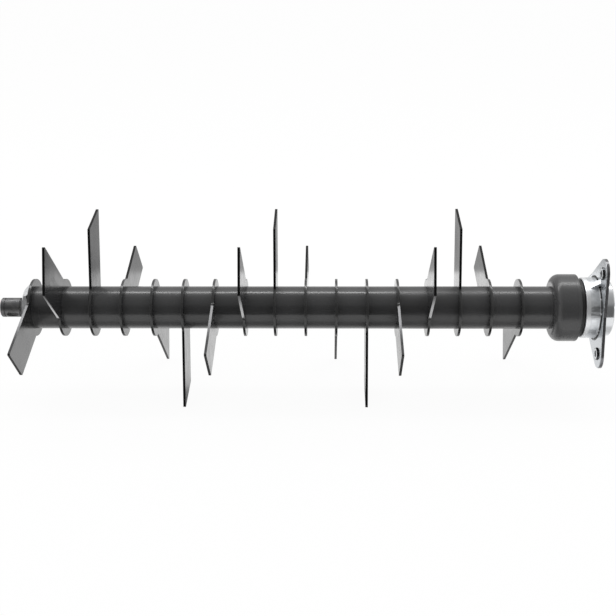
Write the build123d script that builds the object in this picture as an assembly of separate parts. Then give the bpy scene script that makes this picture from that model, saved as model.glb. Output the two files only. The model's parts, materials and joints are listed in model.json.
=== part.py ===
from build123d import *
import math
import os

os.makedirs("parts", exist_ok=True)

# Millimetres. The roller lies along X, and X = 0 is the face of the flange that
# bolts to the machine. Z points up as the roller rests on its knife points.

# Knives, cut from sheet steel
knife_count = 17
knife_pitch = 25.0
knife_sheet = 2.0
knife_ring_d = 47.4
knife_arm_w = 34.4
knife_heel_h = 65.8        # low corner of the slanted tip, above the axis
knife_point_h = 81.2       # high corner of the tip
knife_tip_r = 1.0
knife_root_r = 2.5         # where the ring runs into the arm
knife_bore_play = 0.15     # between a knife and the bar, each side

# Sleeves between the knives
sleeve_d = 35.0
sleeve_bore_play = 0.2

# Shaft, turned from a hexagon bar
bar_sides = 6
bar_af = 19.0
bar_setback = 0.5          # the bar ends inside the first knife so that the nut can clamp it
stub_d = 16.0
stub_free_len = 20.5       # beyond the nut
stub_chamfer = 0.8
thread_undercut = 0.5      # the thread stands in as a plain neck of about its middle diameter
thread_free_len = 4.5      # thread that shows beyond the nut
clip_groove_w = 1.1
clip_groove_depth = 0.6
clip_groove_from_end = 3.4
key_w = 5.0
key_len = 9.0
key_depth = 3.0
key_from_end = 5.6
key_turn = 112.0           # from straight up toward the front
journal_end_gap = 0.8      # the journal stops short so that the end washer bears on the bearing

# Clamp nut
nut_af = 32.0
nut_h = 6.5
nut_face_h = 1.2           # round face on the side of the knives
nut_face_d = 27.0
nut_turn = 4.2
thread_play = 0.05

# Guard collar
collar_d = 55.2
collar_rim_len = 20.7
collar_nose_len = 1.9      # as wide as the sleeves, against the last one
collar_front_r = 7.0
collar_back_r = 0.8
collar_step = 4.0          # from the rim down to the neck
collar_neck_len = 3.3
collar_hub_step = 0.1      # the hub bears on the inner ring only
collar_play = 0.02
neck_gap = 0.45            # running gap between the neck and the housing

# Ball bearing
bearing_bore = 17.0
bearing_od = 40.0
bearing_w = 12.0
ball_d = 6.75
ball_count = 8
race_play = 0.03           # between a ball and its races
race_conform = 0.52        # radius of a race over the diameter of a ball
ring_gap = 4.0             # between the shoulders of the two rings
race_corner = 0.6
cage_wall = 1.8
cage_side_gap = 0.4        # to the seals
cage_play = 0.15
seal_t = 0.8
seal_inset = 0.2
seal_seat_depth = 0.5
seal_play = 0.05

# Bearing housing, a casting
boss_wall = 4.9
boss_len = 12.0
boss_lip = 2.5             # stops the bearing
boss_lip_reach = 5.0
boss_edge_r = 1.0
plate_t = 2.7
plate_side_margin = 4.6    # the round middle of the plate stands out from the boss
ear_count = 3
ear_hole_d = 5.5
ear_reach = 9.25           # from the round middle out to the holes
ear_tip_r = 11.8
ear_turn = 19.8            # first ear, from straight up toward the front
root_fillet = 1.6
plate_edge_r = 0.7
rib_w = 4.5                # one rib, from the boss to the first ear
rib_h = 7.3                # along the boss
rib_reach = 5.5            # along the ear
pad_h = 1.3                # raised rim round each hole
pad_wall = 2.1
spigot_wall = 3.2
spigot_len = 8.4
spigot_chamfer = 0.8

# Retaining ring of the bearing
clip_t = 1.75
clip_play = 0.05
clip_groove_cut = 1.25
clip_band = 3.2
clip_opening = 10.0
clip_hole_d = 2.5

# Screw and washer in the end of the shaft
screw_d = 8.0
screw_len = 22.0           # under the head
screw_af = 13.0
screw_head_h = 5.0
tap_runout = 2.0           # the tapped hole is deeper than the screw reaches
end_washer_d = 23.0
end_washer_t = 2.2

# Diameters that follow from the sizes
thread_d = stub_d - 2 * thread_undercut
ring_wall = (bearing_od - bearing_bore) / 4 - ring_gap / 2
inner_shoulder_d = bearing_bore + 2 * ring_wall
outer_shoulder_d = bearing_od - 2 * ring_wall
collar_neck_d = collar_d - 2 * collar_step
collar_hub_d = inner_shoulder_d - 2 * collar_hub_step
boss_d = bearing_od + 2 * boss_wall
boss_lip_bore = bearing_od - 2 * boss_lip_reach
spigot_d = bearing_od + 2 * spigot_wall
clip_seat_d = bearing_od + 2 * clip_groove_cut
plate_side_d = boss_d + 2 * plate_side_margin
ear_circle_d = plate_side_d + 2 * ear_reach

# Places along X, worked out from the sizes
boss_x = -(plate_t + boss_len)
bearing_x0 = boss_x + boss_lip
bearing_x1 = bearing_x0 + bearing_w
collar_x1 = boss_x - neck_gap
stack_x1 = collar_x1 - collar_neck_len - collar_rim_len - collar_nose_len
stack_x0 = stack_x1 - knife_count * knife_pitch
stub_x0 = stack_x0 - nut_h - stub_free_len
journal_x1 = bearing_x1 - journal_end_gap
screw_head_x = bearing_x1 + end_washer_t
screw_tip_x = screw_head_x - screw_len
sleeve_len = knife_pitch - knife_sheet
cage_w = bearing_w - 2 * (seal_inset + seal_t + cage_side_gap)
bar_corner_d = bar_af / math.cos(math.pi / bar_sides)
pitch_r = (inner_shoulder_d + outer_shoulder_d) / 4
race_r = ball_d * race_conform

# At rest the points of the knives stand in rows, with the floor touching two rows
knife_step = 360 / bar_sides
point_turn = math.degrees(math.atan2(knife_arm_w / 2, knife_point_h))
first_knife_turn = 2 * knife_step + point_turn - knife_step / 2


def turned(x, angle=0.0):
    # A plane across the axis at x. Its own Y leans from straight up toward the front by angle.
    a = math.radians(angle)
    return Plane(origin=(x, 0, 0), x_dir=(0, math.cos(a), math.sin(a)), z_dir=(1, 0, 0))


def disc(x0, x1, d):
    return extrude(turned(x0) * Circle(d / 2), x1 - x0)


def tube(x0, x1, d, bore):
    return extrude(turned(x0) * (Circle(d / 2) - Circle(bore / 2)), x1 - x0)


def spun(points):
    # A solid of revolution about the axis, from (x, radius) points
    face = make_face(Polyline([(x, 0, r) for x, r in points], close=True))
    return revolve(face, Axis.X)


def bar_section(play=0.0):
    return RegularPolygon(bar_af / 2 + play, bar_sides, major_radius=False, rotation=90)


def knife(number):
    x = stack_x0 + number * knife_pitch
    half = knife_arm_w / 2
    arm = make_face(Polyline((-half, 0), (half, 0), (half, knife_point_h), (-half, knife_heel_h), close=True))
    outline = Circle(knife_ring_d / 2) + arm
    tips = outline.vertices().sort_by(Axis.Y)[-2:]
    outline = fillet(tips, knife_tip_r)
    roots = [v for v in outline.vertices() if 0 < v.Y < knife_ring_d / 2]
    outline = fillet(roots, knife_root_r)
    blank = turned(x, first_knife_turn - number * knife_step) * (outline - bar_section(knife_bore_play))
    return extrude(blank, knife_sheet)


def sleeve(number):
    x = stack_x0 + number * knife_pitch + knife_sheet
    return tube(x, x + sleeve_len, sleeve_d, bar_corner_d + 2 * sleeve_bore_play)


def shaft():
    thread_x0 = stack_x0 - nut_h - thread_free_len
    body = disc(stub_x0, thread_x0, stub_d)
    body = chamfer(body.faces().sort_by(Axis.X)[0].edges(), stub_chamfer)
    bar_x0 = stack_x0 + bar_setback
    body += disc(thread_x0, bar_x0, thread_d)
    body += extrude(turned(bar_x0, first_knife_turn) * bar_section(), stack_x1 - bar_x0)
    body += disc(stack_x1, journal_x1, bearing_bore)
    groove_x = stub_x0 + clip_groove_from_end
    body -= tube(groove_x, groove_x + clip_groove_w, stub_d + 2, stub_d - 2 * clip_groove_depth)
    a = math.radians(key_turn)
    key_x = stub_x0 + key_from_end + key_len / 2
    floor_r = stub_d / 2 - key_depth
    out = (0, -math.sin(a), math.cos(a))
    seat = Plane(origin=(key_x, out[1] * floor_r, out[2] * floor_r), x_dir=(1, 0, 0), z_dir=out)
    body -= extrude(seat * SlotOverall(key_len, key_w), stub_d)
    body -= disc(screw_tip_x - tap_runout, journal_x1, screw_d + 2 * thread_play)
    return body


def hex_with_cut_corners(x0, x1, af, turn, cut_left, cut_right):
    # A hexagon whose corners are cut by a cone at one end or both
    corner_r = af / 2 / math.cos(math.pi / 6)
    flat_r = af / 2 * 0.97
    slope = math.tan(math.radians(30))
    body = extrude(turned(x0, turn) * RegularPolygon(af / 2, 6, major_radius=False), x1 - x0)
    left_drop = (corner_r - flat_r) * slope if cut_left else 0
    right_drop = (corner_r - flat_r) * slope if cut_right else 0
    points = [(x0, 0), (x0, flat_r if cut_left else corner_r)]
    if cut_left:
        points.append((x0 + left_drop, corner_r))
    if cut_right:
        points.append((x1 - right_drop, corner_r))
    points += [(x1, flat_r if cut_right else corner_r), (x1, 0)]
    return body & spun(points)


def clamp_nut():
    x0 = stack_x0 - nut_h
    face_x0 = stack_x0 - nut_face_h
    body = hex_with_cut_corners(x0, face_x0, nut_af, nut_turn, True, True)
    body += disc(face_x0, stack_x0, nut_face_d)
    return body - disc(x0, stack_x0, thread_d + 2 * thread_play)


def guard_collar():
    rim_x0 = stack_x1 + collar_nose_len
    rim_x1 = rim_x0 + collar_rim_len
    rim = disc(rim_x0, rim_x1, collar_d)
    rim = fillet(rim.faces().sort_by(Axis.X)[0].edges(), collar_front_r)
    rim = fillet(rim.faces().sort_by(Axis.X)[-1].edges(), collar_back_r)
    rim += disc(stack_x1, rim_x0, sleeve_d)
    rim += disc(rim_x1, collar_x1, collar_neck_d)
    rim += disc(collar_x1, bearing_x0, collar_hub_d)
    return rim - disc(stack_x1, bearing_x0, bearing_bore + 2 * collar_play)


def race_shift():
    return race_r - ball_d / 2 - race_play


def groove_at(shift):
    middle = (bearing_x0 + bearing_x1) / 2
    ring = Plane(origin=(middle, 0, pitch_r + shift), x_dir=(1, 0, 0), z_dir=(0, -1, 0)) * Circle(race_r)
    return revolve(ring, Axis.X)


def inner_ring():
    ring = tube(bearing_x0, bearing_x1, inner_shoulder_d, bearing_bore)
    return ring - groove_at(race_shift())


def outer_ring():
    ring = tube(bearing_x0, bearing_x1, bearing_od, outer_shoulder_d)
    rims = ring.edges().filter_by(GeomType.CIRCLE).group_by(lambda e: e.radius)[-1]
    ring = chamfer(rims, race_corner)
    seat_d = outer_shoulder_d + 2 * seal_seat_depth
    seat_w = seal_inset + seal_t
    ring -= disc(bearing_x0, bearing_x0 + seat_w, seat_d)
    ring -= disc(bearing_x1 - seat_w, bearing_x1, seat_d)
    return ring - groove_at(-race_shift())


def seal(x):
    return tube(x, x + seal_t, outer_shoulder_d + 2 * seal_seat_depth, inner_shoulder_d + 2 * seal_play)


def ball_place(number):
    a = 2 * math.pi * number / ball_count
    middle = (bearing_x0 + bearing_x1) / 2
    return Location((middle, -pitch_r * math.sin(a), pitch_r * math.cos(a)))


def ball(number):
    return ball_place(number) * Sphere(ball_d / 2)


def cage():
    middle = (bearing_x0 + bearing_x1) / 2
    inner_d = 2 * pitch_r - cage_wall
    ring = tube(middle - cage_w / 2, middle + cage_w / 2, 2 * pitch_r + cage_wall, inner_d)
    for number in range(ball_count):
        ring -= ball_place(number) * Rot(360 * number / ball_count, 0, 0) * Cylinder(ball_d / 2 + cage_play, ball_d)
    return ring


def ear_outline():
    # Straight sides run from each ear to the round middle of the plate
    shape = Circle(plate_side_d / 2)
    far = ear_circle_d / 2
    near = plate_side_d / 2
    lean = math.acos((near - ear_tip_r) / far)
    for number in range(ear_count):
        spread = [(-math.sin(lean) * near, math.cos(lean) * near), (math.sin(lean) * near, math.cos(lean) * near)]
        tip = [(math.sin(lean) * ear_tip_r, far + math.cos(lean) * ear_tip_r),
               (-math.sin(lean) * ear_tip_r, far + math.cos(lean) * ear_tip_r)]
        ear = make_face(Polyline(*spread, *tip, close=True)) + Pos(0, far) * Circle(ear_tip_r)
        shape += Rot(0, 0, number * 360 / ear_count) * ear
    return shape


def ear_place(number):
    return Rot(0, 0, number * 360 / ear_count) * Pos(0, ear_circle_d / 2)


def rib():
    # A triangular web that stands on the boss and runs out on the first ear
    root = boss_d / 2
    points = [(-plate_t, root - boss_wall / 2), (-plate_t - rib_h, root - boss_wall / 2),
              (-plate_t - rib_h, root), (-plate_t, root + rib_reach)]
    side = make_face(Polyline([(x, 0, r) for x, r in points], close=True))
    return Rot(ear_turn, 0, 0) * extrude(side, rib_w / 2, dir=(0, 1, 0), both=True)


def bearing_housing():
    outline = turned(-plate_t, ear_turn) * ear_outline()
    plate = extrude(outline, plate_t)
    front_edges = plate.faces().sort_by(Axis.X)[0].edges()
    plate = fillet(front_edges, plate_edge_r)
    boss = disc(boss_x, -plate_t, boss_d)
    boss = fillet(boss.faces().sort_by(Axis.X)[0].edges(), boss_edge_r)
    # The fillet round the boss runs out on the ears and is trimmed by the sides of the plate
    toe = boss_d / 2 + root_fillet
    flare = disc(-plate_t - root_fillet, -plate_t, 2 * toe)
    hollow = Plane(origin=(-plate_t - root_fillet, 0, toe), x_dir=(1, 0, 0), z_dir=(0, -1, 0)) * Circle(root_fillet)
    flare -= revolve(hollow, Axis.X)
    flare &= extrude(turned(-plate_t - root_fillet, ear_turn) * offset(ear_outline(), -plate_edge_r), root_fillet)
    spigot = disc(0, spigot_len, spigot_d)
    spigot = chamfer(spigot.faces().sort_by(Axis.X)[-1].edges(), spigot_chamfer)
    body = plate + boss + flare + spigot + rib()
    for number in range(ear_count):
        rim = ear_place(number) * Circle(ear_hole_d / 2 + pad_wall)
        body += extrude(turned(-plate_t - pad_h, ear_turn) * rim, pad_h)
    body -= disc(boss_x, bearing_x0, boss_lip_bore)
    body -= disc(bearing_x0, spigot_len, bearing_od)
    body -= tube(bearing_x1, bearing_x1 + clip_t + 2 * clip_play, clip_seat_d, bearing_od - 1)
    for number in range(ear_count):
        hole = ear_place(number) * Circle(ear_hole_d / 2)
        body -= extrude(turned(-plate_t - pad_h, ear_turn) * hole, pad_h + plate_t)
    return body


def retaining_ring():
    outer = clip_seat_d / 2 - clip_play
    middle = outer - clip_band
    section = Circle(outer) - Circle(middle)
    lean = math.degrees(math.asin((clip_opening / 2 + clip_band) / middle))
    lugs = [Rot(0, 0, turn) * Pos(0, middle) for turn in (-lean, lean)]
    for place in lugs:
        section += place * Circle(clip_band)
    section -= Pos(0, outer) * Rectangle(clip_opening, 2 * outer)
    for place in lugs:
        section -= place * Circle(clip_hole_d / 2)
    return extrude(turned(bearing_x1 + clip_play) * section, clip_t)


def end_washer():
    return tube(bearing_x1, bearing_x1 + end_washer_t, end_washer_d, screw_d + 2 * thread_play)


def end_screw():
    head = hex_with_cut_corners(screw_head_x, screw_head_x + screw_head_h, screw_af, 0, False, True)
    return head + disc(screw_tip_x, screw_head_x, screw_d)


def write_all():
    export_step(shaft(), "parts/shaft.step")
    for number in range(knife_count):
        export_step(knife(number), f"parts/knife_{number + 1:02d}.step")
        export_step(sleeve(number), f"parts/sleeve_{number + 1:02d}.step")
    export_step(clamp_nut(), "parts/clamp_nut.step")
    export_step(guard_collar(), "parts/guard_collar.step")
    export_step(inner_ring(), "parts/bearing_inner_ring.step")
    export_step(outer_ring(), "parts/bearing_outer_ring.step")
    for number in range(ball_count):
        export_step(ball(number), f"parts/bearing_ball_{number + 1}.step")
    export_step(cage(), "parts/bearing_cage.step")
    export_step(seal(bearing_x0 + seal_inset), "parts/bearing_seal_inner.step")
    export_step(seal(bearing_x1 - seal_inset - seal_t), "parts/bearing_seal_outer.step")
    export_step(bearing_housing(), "parts/bearing_housing.step")
    export_step(retaining_ring(), "parts/retaining_ring.step")
    export_step(end_washer(), "parts/end_washer.step")
    export_step(end_screw(), "parts/end_screw.step")


write_all()
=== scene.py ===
import json
import math
import bpy
from mathutils import Matrix, Vector


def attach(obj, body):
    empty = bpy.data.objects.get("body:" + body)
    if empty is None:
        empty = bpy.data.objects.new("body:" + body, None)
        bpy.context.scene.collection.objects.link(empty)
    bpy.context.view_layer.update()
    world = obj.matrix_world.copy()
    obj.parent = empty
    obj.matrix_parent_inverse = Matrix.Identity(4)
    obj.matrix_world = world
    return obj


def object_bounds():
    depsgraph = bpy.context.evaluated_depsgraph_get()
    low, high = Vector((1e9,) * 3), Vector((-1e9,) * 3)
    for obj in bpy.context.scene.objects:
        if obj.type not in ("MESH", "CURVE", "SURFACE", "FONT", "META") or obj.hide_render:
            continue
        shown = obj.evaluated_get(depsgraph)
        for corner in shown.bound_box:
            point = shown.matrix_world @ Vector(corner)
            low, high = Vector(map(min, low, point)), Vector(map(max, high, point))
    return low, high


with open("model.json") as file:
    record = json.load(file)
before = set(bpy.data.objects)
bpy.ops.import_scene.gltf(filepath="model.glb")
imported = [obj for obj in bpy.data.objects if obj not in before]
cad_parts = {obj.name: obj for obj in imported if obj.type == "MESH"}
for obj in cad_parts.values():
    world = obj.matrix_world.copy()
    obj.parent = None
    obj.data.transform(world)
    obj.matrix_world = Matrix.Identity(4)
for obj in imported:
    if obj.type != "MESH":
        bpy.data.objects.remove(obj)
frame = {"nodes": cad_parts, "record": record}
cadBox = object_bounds()
nodes = frame["nodes"]
print("frame loaded:", len(nodes), "nodes")

lift = math.radians(25.81)        # how far the roller lies turned back against the photo


# a node's output that takes part in sums like a number
class Out:
    def __init__(self, tree, socket):
        self.tree, self.socket = tree, socket

    def maths(self, how, *values):
        return self.tree.add("ShaderNodeMath", {"operation": how}, dict(enumerate(values)))

    def __add__(self, other):
        return self.maths("ADD", self, other)

    def __radd__(self, other):
        return self.maths("ADD", other, self)

    def __sub__(self, other):
        return self.maths("SUBTRACT", self, other)

    def __rsub__(self, other):
        return self.maths("SUBTRACT", other, self)

    def __mul__(self, other):
        return self.maths("MULTIPLY", self, other)

    def __rmul__(self, other):
        return self.maths("MULTIPLY", other, self)

    def __truediv__(self, other):
        return self.maths("DIVIDE", self, other)

    def __rtruediv__(self, other):
        return self.maths("DIVIDE", other, self)

    def __pow__(self, other):
        return self.maths("POWER", self, other)

    def __rpow__(self, other):
        return self.maths("POWER", other, self)

    def __neg__(self):
        return self.maths("MULTIPLY", self, -1)

    def __abs__(self):
        return self.maths("ABSOLUTE", self)


class Tree:
    def __init__(self, nodeTree):
        self.nodeTree = nodeTree
        nodeTree.nodes.clear()

    # settings first, such as an operation or a ramp's stops, then socket values or links
    def add(self, kind, settings=None, sockets=None, out=0):
        node = self.nodeTree.nodes.new(kind)
        for name, value in (settings or {}).items():
            if name == "stops":
                self.setStops(node.color_ramp, value)
            else:
                setattr(node, name, value)
        for name, value in (sockets or {}).items():
            self.fill(node.inputs[name], value)
        return Out(self, node.outputs[out]) if len(node.outputs) else node

    def setStops(self, ramp, stops):       # each stop is a place and a grey
        while len(ramp.elements) > 1:
            ramp.elements.remove(ramp.elements[-1])
        for number, (place, grey) in enumerate(stops):
            stop = ramp.elements[0] if number == 0 else ramp.elements.new(place)
            stop.position = place
            stop.color = (grey, grey, grey, 1)

    def fill(self, socket, value):
        if isinstance(value, Out):
            self.nodeTree.links.new(value.socket, socket)
        elif socket.type == "RGBA":
            socket.default_value = (*value, 1)
        else:
            socket.default_value = value

    def mix(self, mask, low, high):        # colours
        return self.add("ShaderNodeMix", {"data_type": "RGBA"}, {0: mask, 6: low, 7: high}, 2)

    def blend(self, mask, low, high):      # values
        return self.add("ShaderNodeMix", {"data_type": "FLOAT"}, {0: mask, 2: low, 3: high}, 0)

    def place(self):                       # millimetres in the part's own frame
        here = self.add("ShaderNodeTexCoord", out="Object")
        return self.add("ShaderNodeVectorMath", {"operation": "SCALE"}, {0: here, "Scale": 1000.0})

    def stretch(self, here, x, y, z):
        return self.add("ShaderNodeVectorMath", {"operation": "MULTIPLY"}, {0: here, 1: (x, y, z)})

    def parts(self, vector):
        split = self.add("ShaderNodeSeparateXYZ", {}, {0: vector}).socket.node
        return [Out(self, socket) for socket in split.outputs]

    def noise(self, here, size, detail=3.0, rough=0.55):
        return self.add("ShaderNodeTexNoise", {"noise_dimensions": "3D"},
                        {"Vector": here, "Scale": 1 / size, "Detail": detail, "Roughness": rough}, "Fac")

    def soft(self, value, low, high):      # 0 below low, 1 above high
        return self.add("ShaderNodeMapRange", {"interpolation_type": "SMOOTHSTEP"},
                        {"Value": value, "From Min": low, "From Max": high}, "Result")

    def bump(self, height, depth):         # depth in millimetres
        return self.add("ShaderNodeBump", {}, {"Height": height, "Strength": 1.0, "Distance": depth / 1000},
                        "Normal")

    def principled(self, sockets):
        return self.add("ShaderNodeBsdfPrincipled", {}, sockets, "BSDF")


def material(name, build):
    made = bpy.data.materials.new(name)
    made.use_nodes = True
    tree = Tree(made.node_tree)
    tree.add("ShaderNodeOutputMaterial", {}, {"Surface": build(tree)})
    return made


def fromAxis(y, z):                        # distance from the shaft's axis, or from another line along it
    return (y * y + z * z) ** 0.5


def darker(colour):
    return tuple(c * 0.8 for c in colour)


# the pieces' sizes and places are in millimetres, those of the studio in metres

# gloss black paint on the sleeves, a duller one on the collar, and painted shade on the collar's neck
# rough runs along the shaft, from 0 at the first knife to 1 at the flange
stackLength = 466.0
sleevePaint = {
    "colour": (0.052, 0.052, 0.053), "speck": 0.09, "peel": 0.010, "peelSize": 1.6,
    "rough": [(0, 0.31), (0.06, 0.25), (0.20, 0.20), (0.62, 0.19), (0.69, 0.36), (0.77, 0.34), (0.83, 0.24),
              (1, 0.28)]}
collarPaint = {
    "colour": (0.060, 0.060, 0.061), "speck": 0.12, "peel": 0.02, "peelSize": 1.1,
    "rough": [(0, 0.28), (0.955, 0.28), (0.965, 0.55)],
    "paintedNeckShade": (0.008, 0.008, 0.008), "neckShadeFrom": 0.958, "neckShadeTo": 0.963}


def blackPaint(look):
    def build(t):
        here = t.place()
        along = (t.parts(here)[0] + stackLength) / stackLength
        gloss = t.parts(t.add("ShaderNodeValToRGB", {"stops": look["rough"]}, {"Fac": along}, "Color"))[0]
        cloud = t.noise(t.stretch(here, 0.5, 0.2, 0.2), 18.0)
        peel = t.noise(here, look["peelSize"], 2.0)
        speck = t.soft(t.noise(here, 0.7, 1.0), 0.70, 0.76)
        colour = t.mix(speck * 0.5, look["colour"], (look["speck"],) * 3)
        if "paintedNeckShade" in look:
            # painted shade: from its neck onward the collar is darkened
            colour = t.mix(t.soft(along, look["neckShadeFrom"], look["neckShadeTo"]), colour, look["paintedNeckShade"])
        rough = gloss + (cloud - 0.5) * 0.20 + speck * 0.2
        return t.principled({"Base Color": colour, "Roughness": rough, "IOR": 1.5,
                             "Normal": t.bump(peel, look["peel"])})
    return build


# knives: black all over, with painted highlights: bright metal on the front side of the arms' edges near
# the sleeves
knifeCoat = {
    "face": (0.020, 0.020, 0.021), "scuff": (0.08, 0.08, 0.08), "rough": 0.22,
    "edge": (0.006, 0.006, 0.006), "edgeGloss": 0.10, "ringRim": (0.034, 0.034, 0.034), "ringRadius": 24.1,
    "glintUp": (0.20, 0.20, 0.205), "glintDown": (0.52, 0.52, 0.525),
    "glintFrom": 25.0, "glintFade": 42.0, "glintTo": 70.0, "glintDownEnd": 66.0,
    "firstKnife": -470.0, "pitch": 25.0, "firstArm": 101.96, "armStep": 60.0,
    "grainSize": 1.4, "grainStretch": 0.02}


# fine lines along each arm, left from the rolled strip
def rolledLines(t, px, py, pz):
    count = (px - knifeCoat["firstKnife"]) / knifeCoat["pitch"]
    number = t.add("ShaderNodeMath", {"operation": "FLOOR"}, {0: count})
    arm = (knifeCoat["firstArm"] - number * knifeCoat["armStep"]) * (math.pi / 180)
    sine = t.add("ShaderNodeMath", {"operation": "SINE"}, {0: arm})
    cosine = t.add("ShaderNodeMath", {"operation": "COSINE"}, {0: arm})
    across = py * cosine + pz * sine
    along = pz * cosine - py * sine
    lines = {0: across, 1: along * knifeCoat["grainStretch"], 2: number * 7.0}      # no two knives alike
    return t.noise(t.add("ShaderNodeCombineXYZ", {}, lines), knifeCoat["grainSize"], 3.0)


# painted highlight: bright metal on edges that look up or down on the front side, less toward the tips
def paintedEdgeGlint(t, here, py, nz, radius):
    reach = radius + (t.noise(here, 2.5) - 0.5) * 6.0
    glintBand = t.soft(reach, knifeCoat["glintFrom"], knifeCoat["glintFrom"] + 2)
    glintBand = glintBand * (1 - t.soft(reach, knifeCoat["glintFade"], knifeCoat["glintTo"]) * 0.8)
    upward = t.soft(nz, 0.5, 0.62)
    downward = t.soft(-nz, 0.61, 0.65)
    downward = downward * (1 - t.soft(radius, knifeCoat["glintDownEnd"], knifeCoat["glintDownEnd"] + 3))
    return glintBand * (upward + downward) * t.soft(-py, 8.0, 16.0)


def knifeSteel(t):
    here = t.place()
    nx, ny, nz = t.parts(t.add("ShaderNodeTexCoord", out="Normal"))
    px, py, pz = t.parts(here)
    radius = fromAxis(py, pz)
    cutFace = 1 - t.soft(abs(nx), 0.55, 0.85)
    # painted shade: the ring's rim keeps its lighter colour and gloss, but underneath it takes the dark
    # edge colour
    ring = 1 - t.soft(radius, knifeCoat["ringRadius"], knifeCoat["ringRadius"] + 0.9)
    edge = cutFace * (1 - ring * t.soft(nz, -0.45, -0.3))
    cloud = t.noise(here, 11.0)
    grain = rolledLines(t, px, py, pz)
    speck = t.soft(t.noise(here, 0.9, 1.0), 0.70, 0.76)
    scuff = t.soft(t.noise(t.stretch(here, 1.0, 1.0, 0.08), 1.1, 3.0), 0.60, 0.72)
    scuff = scuff * t.soft(cloud, 0.48, 0.60)
    rough = knifeCoat["rough"] + (cloud - 0.5) * 0.16 + (grain - 0.5) * 0.20 + scuff * 0.12
    coat = t.mix(scuff * 0.35, knifeCoat["face"], knifeCoat["scuff"])
    coat = t.mix(cutFace, t.mix(speck * 0.4, coat, knifeCoat["scuff"]), knifeCoat["ringRim"])
    face = t.principled({"Base Color": coat, "Roughness": rough, "IOR": 1.5,
                         "Normal": t.bump(t.noise(here, 1.3, 2.0) * 0.6 + grain, 0.014)})
    # the cut edges take the paint thinly and shine less
    # painted highlight: the front edges turn to metal, lighter where they face down
    glint = paintedEdgeGlint(t, here, py, nz, radius)
    steel = t.mix(t.soft(nz, -0.1, 0.1), knifeCoat["glintDown"], knifeCoat["glintUp"])
    cut = t.noise(t.stretch(here, 0.3, 1.0, 1.0), 0.5, 2.0)
    rim = t.principled({"Base Color": t.mix(glint, knifeCoat["edge"], steel), "Roughness": rough + 0.06,
                        "Metallic": glint, "Specular IOR Level": knifeCoat["edgeGloss"],
                        "Normal": t.bump(cut, 0.015)})
    return t.add("ShaderNodeMixShader", {}, {0: edge, 1: face, 2: rim})


# shaft: darkened steel, turned, with painted light in the bottom of the key seat
shaftSteel = {"colour": (0.115, 0.115, 0.117), "brown": (0.20, 0.195, 0.19), "rough": 0.42,
              "seat": (0.45, 0.45, 0.45), "seatRadius": 7.2}


def turnedSteel(t):
    here = t.place()
    px, py, pz = t.parts(here)
    rings = t.noise(t.stretch(here, 1.0, 0.02, 0.02), 0.35, 2.0)
    cloud = t.noise(here, 5.0)
    # painted light: the bottom of the key seat is made lighter against its shade
    seatLight = 1 - t.soft(fromAxis(py, pz), shaftSteel["seatRadius"], shaftSteel["seatRadius"] + 0.2)
    colour = t.mix(t.soft(cloud, 0.4, 0.7) * 0.5, shaftSteel["colour"], shaftSteel["brown"])
    colour = t.mix(seatLight, colour, shaftSteel["seat"])
    rough = shaftSteel["rough"] + (rings - 0.5) * 0.15 + (cloud - 0.5) * 0.1
    return t.principled({"Base Color": colour, "Roughness": rough, "Metallic": 1.0,
                         "Normal": t.bump(rings, 0.02)})


# bright parts; grain is the size of their fine marks and depth how deep these go
zincPlate = {"colour": (0.72, 0.73, 0.74), "rough": 0.28, "grain": 0.5, "depth": 0.02}
groundSteel = {"colour": (0.66, 0.67, 0.68), "rough": 0.16, "grain": 0.3, "depth": 0.004}
springSteel = {"colour": (0.12, 0.12, 0.125), "rough": 0.35, "grain": 0.4, "depth": 0.01}


def brightMetal(look):
    def build(t):
        here = t.place()
        cloud = t.noise(here, 4.0)
        grain = t.noise(here, look["grain"], 4.0)
        colour = t.mix(t.soft(cloud, 0.35, 0.7), darker(look["colour"]), look["colour"])
        rough = look["rough"] + (cloud - 0.5) * 0.15 + (grain - 0.5) * 0.1
        return t.principled({"Base Color": colour, "Roughness": rough, "Metallic": 1.0,
                             "Normal": t.bump(grain, look["depth"])})
    return build


# housing: a casting, turned on the end of its boss and on its spigot, with painted shade in the corners and
# a painted reflection on the boss
castMetal = {
    "colour": (0.76, 0.78, 0.80), "plate": (0.50, 0.52, 0.54), "plateEdge": (0.16, 0.16, 0.165),
    "turned": (0.78, 0.79, 0.80), "spigot": (0.60, 0.61, 0.62), "paintedReflection": (0.12, 0.12, 0.12),
    "paintedCornerShade": (0.035, 0.035, 0.035), "rough": 0.24, "bossRough": 0.36, "bandRough": 0.44, "spigotRough": 0.10,
    "reflectionHeight": -2.6, "reflectionStrength": 0.5, "bandEnd": -11.0, "plateBack": -3.0,
    "bossRadius": 26.0, "earCircle": 38.75, "earTurn": 19.8, "padRadius": 4.85}


# painted shade in the corner round the boss and round the raised pads of the ears
def cornerShade(t, here, px, py, pz):
    corner = 1 - t.soft(abs(fromAxis(py, pz) - castMetal["bossRadius"]), 0.5, 1.3)
    for number in range(3):
        at = math.radians(castMetal["earTurn"] + 120 * number)
        y = py + castMetal["earCircle"] * math.sin(at)
        z = pz - castMetal["earCircle"] * math.cos(at)
        corner = corner + (1 - t.soft(abs(fromAxis(y, z) - castMetal["padRadius"]), 0.25, 0.75))
    foot = 1 - t.soft(abs(px - castMetal["plateBack"]), 0.6, 1.5)
    return corner * foot * t.soft(t.noise(here, 2.0), 0.30, 0.45)


# painted reflection: a streaky dark band on the front of the boss, at the height where the photo has it
def bossReflection(t, here, py, pz):
    height = pz * math.cos(lift) + py * math.sin(lift)
    outward = pz * math.sin(lift) - py * math.cos(lift)
    patch = (1 - t.soft(abs(height - castMetal["reflectionHeight"]), 4.5, 7.0)) * t.soft(outward, 10.0, 14.0)
    return patch * t.soft(t.noise(t.stretch(here, 0.22, 1.0, 1.0), 2.2, 3.0), 0.42, 0.58)


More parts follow.
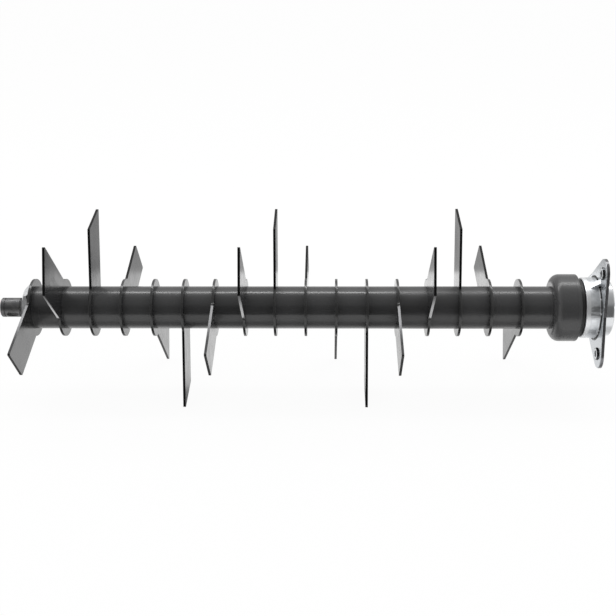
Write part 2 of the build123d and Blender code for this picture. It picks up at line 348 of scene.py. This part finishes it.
def castHousing(t):
    here = t.place()
    px, py, pz = t.parts(here)
    nx = t.parts(t.add("ShaderNodeTexCoord", out="Normal"))[0]
    cloud = t.noise(here, 4.0)
    grain = t.noise(here, 0.6, 4.0)
    rings = t.noise(t.stretch(here, 1.0, 0.02, 0.02), 0.35, 2.0)
    band = 1 - t.soft(px, castMetal["bandEnd"] - 0.2, castMetal["bandEnd"] + 0.2)
    spigot = t.soft(px, 0.1, 0.3)
    plate = t.soft(px, castMetal["plateBack"] - 0.2, castMetal["plateBack"] + 0.2)
    # painted shade in the corners and a painted reflection on the front of the boss
    paintedCornerShade = cornerShade(t, here, px, py, pz)
    paintedReflection = bossReflection(t, here, py, pz) * (1 - band) * (1 - spigot)
    beyondBoss = t.soft(fromAxis(py, pz), castMetal["bossRadius"] + 0.5, castMetal["bossRadius"] + 1.5)
    edge = (1 - t.soft(abs(nx), 0.3, 0.6)) * t.soft(px, -2.6, -2.4) * (1 - spigot) * beyondBoss
    colour = t.mix(t.soft(cloud, 0.35, 0.7), darker(castMetal["colour"]), castMetal["colour"])
    colour = t.mix(edge, t.mix(plate, colour, castMetal["plate"]), castMetal["plateEdge"])
    colour = t.mix(spigot, t.mix(band, colour, castMetal["turned"]), castMetal["spigot"])
    colour = t.mix(paintedReflection * castMetal["reflectionStrength"], colour, castMetal["paintedReflection"])
    colour = t.mix(paintedCornerShade, colour, castMetal["paintedCornerShade"])
    rough = t.blend(plate, castMetal["bossRough"], castMetal["rough"])
    rough = t.blend(band, t.blend(spigot, rough, castMetal["spigotRough"]), castMetal["bandRough"])
    rough = rough + (cloud - 0.5) * 0.12 + (grain - 0.5) * 0.08 + paintedCornerShade * 0.3
    return t.principled({"Base Color": colour, "Roughness": rough, "Metallic": 1.0,
                         "Normal": t.bump(t.blend(band + spigot, grain, rings), 0.04)})


# the cage of the bearing
cagePlastic = {"light": (0.5, 0.44, 0.33), "dark": (0.42, 0.36, 0.26), "rough": 0.45}


def mouldedCage(t):
    cloud = t.noise(t.place(), 2.0)
    return t.principled({"Base Color": t.mix(cloud, cagePlastic["dark"], cagePlastic["light"]),
                         "Roughness": cagePlastic["rough"] + (cloud - 0.5) * 0.2,
                         "Normal": t.bump(cloud, 0.01)})


# the seals of the bearing
sealRubber = {"light": (0.03, 0.03, 0.03), "dark": (0.012, 0.012, 0.012), "rough": 0.55}


def mattSeal(t):
    grain = t.noise(t.place(), 0.4, 3.0)
    return t.principled({"Base Color": t.mix(grain, sealRubber["dark"], sealRubber["light"]),
                         "Roughness": sealRubber["rough"] + (grain - 0.5) * 0.2,
                         "Normal": t.bump(grain, 0.02)})


# one finish for each of the record's material slots
finishes = {
    "sleeve": material("sleevePaint", blackPaint(sleevePaint)),
    "collar": material("collarPaint", blackPaint(collarPaint)),
    "knife": material("knifeCoat", knifeSteel),
    "shaft": material("shaftSteel", turnedSteel),
    "zinc": material("zincPlate", brightMetal(zincPlate)),
    "casting": material("castMetal", castHousing),
    "bearing_steel": material("groundSteel", brightMetal(groundSteel)),
    "spring_steel": material("springSteel", brightMetal(springSteel)),
    "cage": material("cagePlastic", mouldedCage),
    "seal": material("sealRubber", mattSeal),
}
slotOf = {row["node"]: row["material_slot"] for row in frame["record"]["subparts"]}
for name, node in nodes.items():
    node.data.materials.clear()
    node.data.materials.append(finishes[slotOf[name]])
print("finishes:", len(finishes))

# the knives' sheared edges are rolled over a little; the weld first closes the seams between their faces
rollover = {"seam": 0.002, "width": 0.35, "segments": 2, "angle": 30.0}
for name, node in nodes.items():
    if slotOf[name] == "knife":
        weld = node.modifiers.new("weld", "WELD")
        weld.merge_threshold = rollover["seam"] / 1000
        bevel = node.modifiers.new("rollover", "BEVEL")
        bevel.width = rollover["width"] / 1000
        bevel.segments = rollover["segments"]
        bevel.limit_method = "ANGLE"
        bevel.angle_limit = math.radians(rollover["angle"])
        bevel.harden_normals = True
print("edges rolled over")

# the thread that shows between the nut and the stub, wound on the shaft's plain neck
thread = {"from": -477.0, "to": -472.6, "root": 7.45, "crest": 7.93, "pitch": 1.5, "half": 0.62,
          "steps": 72}


def threadRidge():
    half = thread["half"]
    profile = ((-half, thread["root"]), (0, thread["crest"]), (half, thread["root"]))
    length = thread["to"] - thread["from"] - 2 * half
    count = round(length / thread["pitch"] * thread["steps"])
    points = []
    faces = []
    for step in range(count + 1):
        along = thread["from"] + half + thread["pitch"] * step / thread["steps"]
        angle = 2 * math.pi * step / thread["steps"]
        for shift, radius in profile:
            place = (along + shift, radius * math.cos(angle), radius * math.sin(angle))
            points.append(Vector(place) / 1000)
        if step:
            a, b = 3 * step - 3, 3 * step
            faces += [(a, a + 1, b + 1, b), (a + 1, a + 2, b + 2, b + 1), (a + 2, a, b, b + 2)]
    faces += [(0, 2, 1), (3 * count, 3 * count + 1, 3 * count + 2)]
    mesh = bpy.data.meshes.new("thread_ridge")
    mesh.from_pydata(points, [], faces)
    ridge = bpy.data.objects.new("thread_ridge", mesh)
    bpy.context.scene.collection.objects.link(ridge)
    mesh.materials.append(finishes["shaft"])
    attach(ridge, "roller")


threadRidge()
print("thread wound")

# studio: the photo looks square on at the shaft, which lies turned back by lift
studio = {"distance": 0.8575, "lens": 60.47, "aimX": -0.2384, "aimUp": -0.00042,
          "yaw": -1.12, "camUp": 0.00044, "roll": 0.035}


def fromPhoto(x, y, z):                   # a place or direction in the photo's level frame
    return Vector((x, y * math.cos(lift) + z * math.sin(lift), z * math.cos(lift) - y * math.sin(lift)))


yaw = math.radians(studio["yaw"])
cameraData = bpy.data.cameras.new("camera")
cameraData.sensor_width = 36
cameraData.lens = studio["lens"]
cameraData.clip_start = 0.01
camera = bpy.data.objects.new("camera", cameraData)
bpy.context.scene.collection.objects.link(camera)
aside = studio["distance"] * math.sin(yaw)
eye = fromPhoto(studio["aimX"] - aside, -studio["distance"] * math.cos(yaw), studio["camUp"])
aim = fromPhoto(studio["aimX"], 0, studio["aimUp"])
back = (eye - aim).normalized()
right = fromPhoto(math.cos(yaw), -math.sin(yaw), 0)
up = back.cross(right).normalized()
turn = Matrix((right, up, back)).transposed() @ Matrix.Rotation(math.radians(studio["roll"]), 3, "Z")
camera.matrix_world = Matrix.Translation(eye) @ turn.to_4x4()
bpy.context.scene.camera = camera

# pale floor under the knife points; the photographer stands beyond its front edge
# mirrors see it glow in painted bands of light, going back: near, lit and far, with a pool of more light in
# the lit one
table = {"front": -0.30, "back": 8.0, "side": 8.0, "pale": (0.9, 0.9, 0.9), "white": 0.1, "whiteSeen": 0.95,
         "near": 0.35, "nearEnd": (-0.08, -0.05), "lit": 1.22, "litFrom": (-0.03, 0.03),
         "far": 0.57, "farFrom": (0.230, 0.238), "pool": 0.46, "poolDip": -0.12,
         "poolFrom": (0.09, 0.14), "poolSide": (-0.30, -0.17)}
floorHeight = cadBox[0].z
corners = ((-table["side"], table["front"]), (table["side"], table["front"]),
           (table["side"], table["back"]), (-table["side"], table["back"]))
sheet = bpy.data.meshes.new("floor")
sheet.from_pydata([(x, y, floorHeight) for x, y in corners], [], [(0, 1, 2, 3)])
floor = bpy.data.objects.new("floor", sheet)
bpy.context.scene.collection.objects.link(floor)


def paleFloor(t):
    # painted light: the sides of the knives mirror a glowing band that stands for the lit table behind the
    # roller and, past its end, a dimmer glow that stands for the room
    x, y, z = t.parts(t.add("ShaderNodeTexCoord", out="Object"))
    near = 1 - t.soft(y, *table["nearEnd"])
    lit = t.soft(y, *table["litFrom"])
    far = t.soft(y, *table["farFrom"])
    deep = t.soft(y, *table["poolFrom"])
    pool = t.soft(x, *table["poolSide"]) * t.blend(deep, table["poolDip"], table["pool"])
    # painted light: mirror rays see the floor glow in these bands, and every ray but the camera's sees a
    # tenth of white glow
    tone = lit * (table["lit"] + pool) * (1 - far) + far * table["far"] + near * table["near"]
    level = t.add("ShaderNodeCombineColor", {}, {"Red": tone, "Green": tone, "Blue": tone})
    matt = t.add("ShaderNodeBsdfDiffuse", {}, {"Color": table["pale"]})
    white = t.add("ShaderNodeEmission", {}, {"Color": (1, 1, 1), "Strength": 1.0})
    glow = t.add("ShaderNodeEmission", {}, {"Color": level, "Strength": 1.0})
    front = t.add("ShaderNodeAddShader", {}, {0: matt, 1: glow})
    both = t.add("ShaderNodeMixShader", {}, {0: lit, 1: front, 2: glow})
    mirrored = t.add("ShaderNodeLightPath", out="Is Glossy Ray")
    ground = t.add("ShaderNodeMixShader", {}, {0: mirrored, 1: matt, 2: both})
    seen = t.add("ShaderNodeLightPath", out="Is Camera Ray")
    share = t.blend(seen, table["white"], table["whiteSeen"])
    return t.add("ShaderNodeMixShader", {}, {0: share, 1: ground, 2: white})


floor.data.materials.append(material("paleFloor", paleFloor))
print("floor laid")

# soft strip over the shaft
strip = {"power": 5.0, "length": 1.8, "width": 0.12, "away": 0.9, "forward": 0.02}
lamp = bpy.data.lights.new("strip", "AREA")
lamp.shape = "RECTANGLE"
lamp.size = strip["length"]
lamp.size_y = strip["width"]
lamp.energy = strip["power"]
lampObject = bpy.data.objects.new("strip", lamp)
over = fromPhoto(0, -strip["forward"], 1).normalized()
lampObject.location = aim + over * strip["away"]
lampObject.rotation_mode = "QUATERNION"
lampObject.rotation_quaternion = over.to_track_quat("Z", "Y")
bpy.context.scene.collection.objects.link(lampObject)

# surround: white to the camera, but as light it is bright overhead and dim where the photographer stands
# each of turns is an angle round the shaft, 0 toward the camera and 90 up, and the light from there
surround = {
    "white": 1.0, "mirroredBehind": 0.75, "behindFrom": (0.5, 0.9), "endFade": 1.2, "brightest": 2,
    "turns": [(-180, 0.7), (-90, 0.6), (-50, 0.12), (-17, 0.10), (2, 0.12), (12, 0.29), (20, 0.38),
              (40, 0.44), (62, 0.62), (76, 1.1), (90, 1.5), (108, 1.4), (118, 0.9), (130, 0.6), (180, 0.7)]}


def studioRoom(w):
    x, y, z = w.parts(w.add("ShaderNodeTexCoord", out="Generated"))
    level = y * math.cos(lift) - z * math.sin(lift)          # away from the camera
    rise = y * math.sin(lift) + z * math.cos(lift)           # up in the photo
    angle = w.add("ShaderNodeMath", {"operation": "ARCTAN2"}, {0: rise, 1: -level}) / (2 * math.pi) + 0.5
    stops = [(degrees / 360 + 0.5, light / surround["brightest"]) for degrees, light in surround["turns"]]
    around = w.parts(w.add("ShaderNodeValToRGB", {"stops": stops}, {"Fac": angle}, "Color"))[0]
    side = (y * y + z * z) ** surround["endFade"]
    glow = w.blend(side, 1.0, surround["brightest"] * around)
    seen = w.add("ShaderNodeLightPath", out="Is Camera Ray")
    mirrored = w.add("ShaderNodeLightPath", out="Is Glossy Ray")
    through = w.add("ShaderNodeLightPath", out="Is Transmission Ray")
    behind = (mirrored + through) * w.soft(level, *surround["behindFrom"])
    strength = w.blend(seen, w.blend(behind, glow, surround["mirroredBehind"]), surround["white"])
    return w.add("ShaderNodeBackground", {}, {"Color": (1, 1, 1), "Strength": strength})


world = bpy.data.worlds.new("surround")
world.use_nodes = True
worldTree = Tree(world.node_tree)
worldTree.add("ShaderNodeOutputWorld", {}, {"Surface": studioRoom(worldTree)})
bpy.context.scene.world = world
bpy.context.scene.view_settings.view_transform = "Standard"
print("studio ready")
